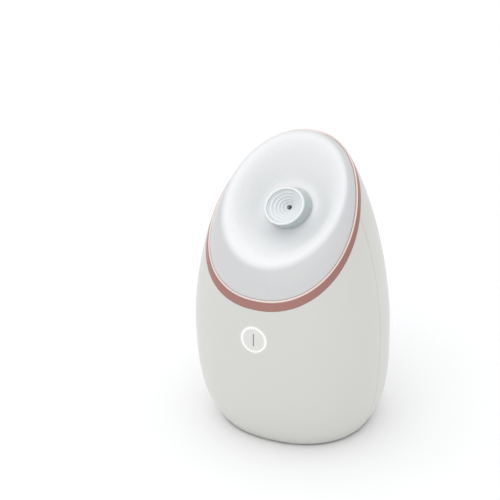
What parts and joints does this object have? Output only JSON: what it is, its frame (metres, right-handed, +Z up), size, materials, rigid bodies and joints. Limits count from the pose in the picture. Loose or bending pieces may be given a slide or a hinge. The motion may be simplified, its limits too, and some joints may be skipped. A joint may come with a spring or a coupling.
{
  "type": "facial steamer",
  "caption": "Countertop facial steamer with an egg-shaped body, a tilted dished top inside a plated ring, a turning steam nozzle, a power button and a pull-out water tank.",
  "frame": {"origin": "centre of the footprint on the table, under the middle of the body", "axes": "+Z up, front with the button towards -Y, +X to the right seen from the front"},
  "size_m": [0.146, 0.1354, 0.2243],
  "materials": {
    "shell": "satin warm white",
    "rose_plating": "rose satin plating",
    "dish_white": "gloss white",
    "grey_plastic": "moulded light grey",
    "silicone": "translucent silicone",
    "boiler_metal": "die cast",
    "heater_ceramic": "matt",
    "dark_plastic": "moulded black",
    "steel": "bright",
    "lit_ring": "diffusing white, lit",
    "circuit_board": "solder mask",
    "lamp": "lamp package",
    "terminal_green": "moulded green",
    "rubber": "moulded",
    "clear_plastic": "clear, faint teal",
    "funnel_white": "gloss",
    "button_white": "satin",
    "mark_grey": "printed grey",
    "tank_plastic": "smoky translucent"
  },
  "bodies": {
    "base": {"front_shell": "shell", "rear_shell": "shell", "trim_ring": "rose_plating", "dish": "dish_white", "nozzle_socket": "grey_plastic", "socket_cap": "grey_plastic", "steam_tube": "silicone", "boiler": "boiler_metal", "boiler_gasket": "silicone", "boiler_lid": "boiler_metal", "heater": "heater_ceramic", "boiler_stand": "grey_plastic", "thermostat": "dark_plastic", "thermal_fuse": "steel", "tank_bay": "grey_plastic", "inlet_spigot": "grey_plastic", "feed_hose": "silicone", "button_ring": "lit_ring", "control_board": "circuit_board", "board_screws": "steel", "lamps": "lamp", "tact_switch": "dark_plastic", "supply_board": "circuit_board", "relay": "dark_plastic", "terminal_block": "terminal_green", "base_plate": "grey_plastic", "feet": "rubber", "base_screws": "steel", "cord_gland": "rubber"},
    "nozzle": {"steam_nozzle": "clear_plastic", "steam_funnel": "funnel_white", "nozzle_seal": "silicone", "nozzle_clip": "steel"},
    "button": {"power_button": "button_white", "button_mark": "mark_grey", "switch_plunger": "dark_plastic"},
    "tank": {"water_tank": "tank_plastic", "tank_back": "tank_plastic", "outlet_valve": "silicone"},
    "cap": {"tank_cap": "grey_plastic", "cap_washer": "silicone"}
  },
  "joints": [
    {"name": "nozzle_turn", "type": "hinge", "parent": "base", "child": "nozzle", "pos_m": [0, -0.00693, 0.17583], "axis": [0, -0.6997, 0.7145], "continuous": true},
    {"name": "button_press", "type": "slide", "parent": "base", "child": "button", "axis": [0, 0.9988, -0.048], "range_m": [0, 0.0011], "stiffness_N_per_m": 800},
    {"name": "tank_pull", "type": "slide", "parent": "base", "child": "tank", "axis": [0, 1, 0], "range_m": [0, 0.07]},
    {"name": "cap_turn", "type": "hinge", "parent": "tank", "child": "cap", "pos_m": [0, 0.043, 0.137], "axis": [0, 0, 1], "range_deg": [0, 90]}
  ]
}
